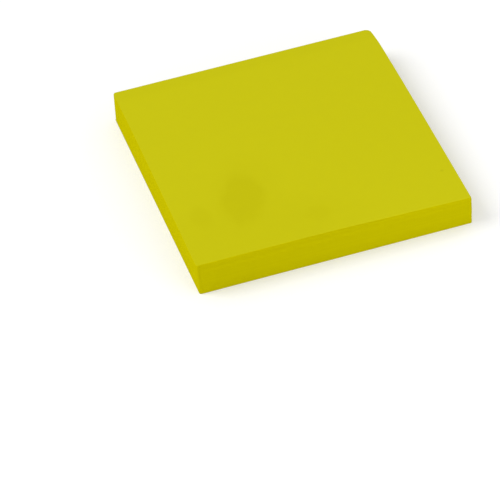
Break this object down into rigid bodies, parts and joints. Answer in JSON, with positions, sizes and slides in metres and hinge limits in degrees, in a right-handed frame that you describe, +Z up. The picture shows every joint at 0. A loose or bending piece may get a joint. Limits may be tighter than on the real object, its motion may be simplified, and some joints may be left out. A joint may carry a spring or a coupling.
{
  "type": "sticky note pad",
  "caption": "Square pad of yellow removable notes, gummed together along one edge, on a thin backing sheet.",
  "frame": {"origin": "middle of the underside of the backing sheet, on the surface that the pad rests on", "axes": "+Z up through the pad's thickness, +Y towards the gummed rear edge, +X to the right as seen from the free front edge"},
  "size_m": [0.076, 0.076, 0.0101],
  "materials": {
    "note_paper": "uncoated bright yellow writing paper, matt",
    "liner_paper": "smooth off-white release paper, faint sheen"
  },
  "bodies": {
    "root": {"note_block": "note_paper", "backing_sheet": "liner_paper"}
  },
  "joints": []
}
